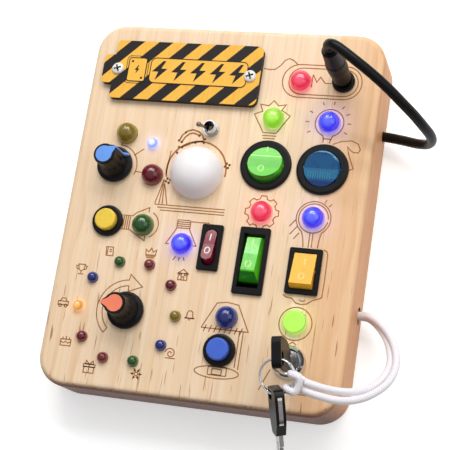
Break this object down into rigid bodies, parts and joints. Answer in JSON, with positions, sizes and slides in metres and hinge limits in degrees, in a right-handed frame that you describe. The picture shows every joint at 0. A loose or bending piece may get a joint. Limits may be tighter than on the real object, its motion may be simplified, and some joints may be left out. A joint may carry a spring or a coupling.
{
  "type": "wooden busy board",
  "caption": "Thick wooden board with rounded corners that carries real rocker switches, knobs, push buttons, a toggle, a key lock with keys on a cord, a power plug and coloured lamps.",
  "frame": {"origin": "centre of the board's back face, on which it lies", "axes": "+Z out of the face, +Y to the board's top, +X to its right"},
  "size_m": [0.1696, 0.2072, 0.0677],
  "materials": {
    "amber_light": "glowing",
    "black_rubber": "satin",
    "black_shell": "satin",
    "blue_cap": "satin",
    "blue_light": "glowing",
    "blue_plastic": "gloss",
    "blue_translucent": "translucent",
    "board_laminate": "satin",
    "cell_wrap": "gloss",
    "chrome": "polished",
    "dark_green_lens": "tinted",
    "dark_red_lens": "tinted",
    "green_light": "glowing",
    "green_plastic": "translucent",
    "navy_lens": "tinted",
    "nickel": "bright",
    "olive_lens": "tinted",
    "orange_cap": "satin",
    "pine": "sanded and oiled",
    "pink_light": "glowing",
    "plywood": "sanded",
    "red_plastic": "gloss",
    "sign_laminate": "satin",
    "steel_screws": "plated",
    "white_cord": "woven",
    "white_diffuser": "frosted",
    "white_light": "glowing",
    "white_screws": "gloss",
    "yellow_plastic": "gloss"
  },
  "bodies": {
    "board": {"board": "pine", "back_panel": "plywood", "back_screws": "steel_screws", "battery_box": "black_shell", "battery_cells": "cell_wrap", "battery_contacts": "nickel", "battery_door": "plywood", "circuit_board": "board_laminate", "sign_plate": "sign_laminate", "sign_screws": "white_screws", "blue_knob_switch": "nickel", "orange_knob_switch": "nickel", "toggle_body": "chrome", "dome_light": "white_diffuser", "lamps_olive": "olive_lens", "lamps_dark_green": "dark_green_lens", "lamps_navy": "navy_lens", "lamps_dark_red": "dark_red_lens", "lamps_blue_lit": "blue_light", "lamps_pink_lit": "pink_light", "lamps_green_lit": "green_light", "lamp_amber_lit": "amber_light", "lamp_white_lit": "white_light", "yellow_switch_body": "black_shell", "tall_switch_body": "black_shell", "narrow_switch_body": "black_shell", "round_green_switch_body": "black_shell", "round_blue_switch_body": "black_shell", "metal_terminals": "nickel", "yellow_button_body": "black_shell", "yellow_button_spring": "nickel", "blue_button_body": "black_shell", "blue_button_spring": "nickel", "panel_nuts": "nickel", "power_jack": "black_shell", "power_lead": "black_rubber", "lock_body": "chrome", "lanyard": "white_cord"},
    "blue_knob": {"blue_knob": "black_shell", "blue_knob_cap": "blue_cap", "blue_knob_shaft": "nickel"},
    "orange_knob": {"orange_knob": "black_shell", "orange_knob_cap": "orange_cap", "orange_knob_shaft": "nickel"},
    "toggle": {"toggle_lever": "chrome"},
    "yellow_rocker": {"yellow_rocker": "yellow_plastic"},
    "tall_green_rocker": {"tall_green_rocker": "green_plastic"},
    "narrow_red_rocker": {"narrow_red_rocker": "red_plastic"},
    "round_green_rocker": {"round_green_rocker": "green_plastic"},
    "round_blue_rocker": {"round_blue_rocker": "blue_translucent"},
    "yellow_button": {"yellow_button_cap": "yellow_plastic"},
    "blue_button": {"blue_button_cap": "blue_plastic"},
    "lock_rotor": {"lock_rotor": "nickel"},
    "key": {"key_blade": "nickel", "key_head": "black_shell"},
    "key_ring": {"split_ring": "chrome", "lanyard_knot": "white_cord"},
    "spare_key": {"spare_key_blade": "nickel", "spare_key_head": "black_shell"},
    "plug": {"power_plug": "black_rubber"}
  },
  "joints": [
    {"name": "blue_knob_turn", "type": "hinge", "parent": "board", "child": "blue_knob", "pos_m": [-0.05, 0.017, 0.026], "axis": [0, 0, 1], "range_deg": [-45, 45]},
    {"name": "orange_knob_turn", "type": "hinge", "parent": "board", "child": "orange_knob", "pos_m": [-0.032, -0.0517, 0.026], "axis": [0, 0, 1], "continuous": true},
    {"name": "toggle_flip", "type": "hinge", "parent": "board", "child": "toggle", "pos_m": [-0.0062, 0.038, 0.0266], "axis": [0.5, -0.866, 0], "range_deg": [-36, 0]},
    {"name": "yellow_rocker_tilt", "type": "hinge", "parent": "board", "child": "yellow_rocker", "pos_m": [0.0473, -0.0256, 0.02694], "axis": [1, 0, 0], "range_deg": [0, 32]},
    {"name": "tall_green_rocker_tilt", "type": "hinge", "parent": "board", "child": "tall_green_rocker", "pos_m": [0.0228, -0.0231, 0.019], "axis": [1, 0, 0], "range_deg": [0, 28]},
    {"name": "narrow_red_rocker_tilt", "type": "hinge", "parent": "board", "child": "narrow_red_rocker", "pos_m": [0.0027, -0.0187, 0.02692], "axis": [1, 0, 0], "range_deg": [0, 32]},
    {"name": "round_green_rocker_tilt", "type": "hinge", "parent": "board", "child": "round_green_rocker", "pos_m": [0.0226, 0.0222, 0.02691], "axis": [1, 0, 0], "range_deg": [0, 32]},
    {"name": "round_blue_rocker_tilt", "type": "hinge", "parent": "board", "child": "round_blue_rocker", "pos_m": [0.0491, 0.0222, 0.02691], "axis": [1, 0, 0], "range_deg": [-32, 0]},
    {"name": "yellow_button_press", "type": "slide", "parent": "board", "child": "yellow_button", "axis": [0, 0, -1], "range_m": [0, 0.0025], "stiffness_N_per_m": 250, "springref_m": -0.002, "deforming": ["yellow_button_spring"]},
    {"name": "blue_button_press", "type": "slide", "parent": "board", "child": "blue_button", "axis": [0, 0, -1], "range_m": [0, 0.0025], "stiffness_N_per_m": 250, "springref_m": -0.002, "deforming": ["blue_button_spring"]},
    {"name": "lock_turn", "type": "hinge", "parent": "board", "child": "lock_rotor", "pos_m": [0.0466, -0.0664, 0.026], "axis": [0, 0, 1], "range_deg": [0, 90], "deforming": ["lanyard"]},
    {"name": "key_pull", "type": "slide", "parent": "lock_rotor", "child": "key", "axis": [0, 0, 1], "range_m": [0, 0.022], "deforming": ["lanyard"]},
    {"name": "ring_swing", "type": "hinge", "parent": "key", "child": "key_ring", "pos_m": [0.04701, -0.06897, 0.0501], "axis": [0.9877, 0.1564, 0], "range_deg": [-110, 5], "deforming": ["lanyard"]},
    {"name": "spare_key_swing", "type": "hinge", "parent": "key_ring", "child": "spare_key", "pos_m": [0.04684, -0.08321, 0.04548], "axis": [0.9877, 0.1564, 0], "range_deg": [-40, 5]},
    {"name": "plug_pull", "type": "slide", "parent": "board", "child": "plug", "axis": [-0.0523, 0.0905, 0.9945], "range_m": [0, 0.012], "deforming": ["power_lead"]}
  ]
}
